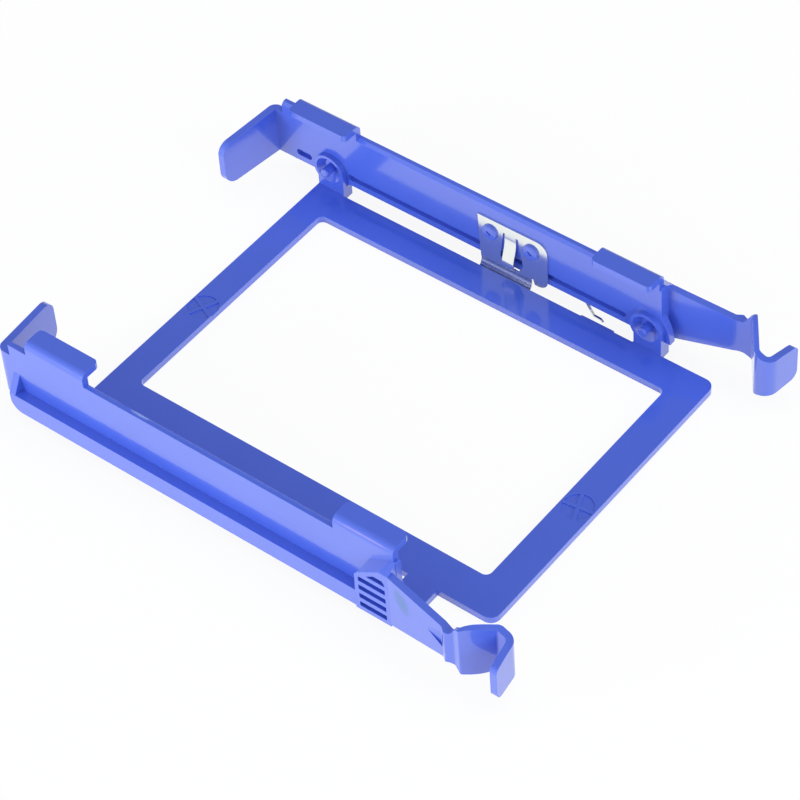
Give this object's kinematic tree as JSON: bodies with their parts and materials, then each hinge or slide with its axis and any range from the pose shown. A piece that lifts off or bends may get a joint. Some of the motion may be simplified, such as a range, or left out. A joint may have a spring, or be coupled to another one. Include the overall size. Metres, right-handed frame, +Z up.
{
  "type": "hard drive caddy",
  "caption": "Tool-free drive tray: a flat frame with two sprung rails, pinned ears, lips, end tabs, finger hooks and a steel grounding clip.",
  "frame": {"origin": "midway between the four drive pins, at the top surface of the base frame", "axes": "+X along the rails towards the finger hooks, +Y towards the rail with the clip, +Z up"},
  "size_m": [0.1618, 0.1238, 0.0271],
  "materials": {
    "blue_plastic": "satin-gloss injection-moulded ABS",
    "spring_steel": "bright rolled stainless spring sheet"
  },
  "bodies": {
    "root": {"moulding": "blue_plastic", "ground_clip": "spring_steel"}
  },
  "joints": []
}
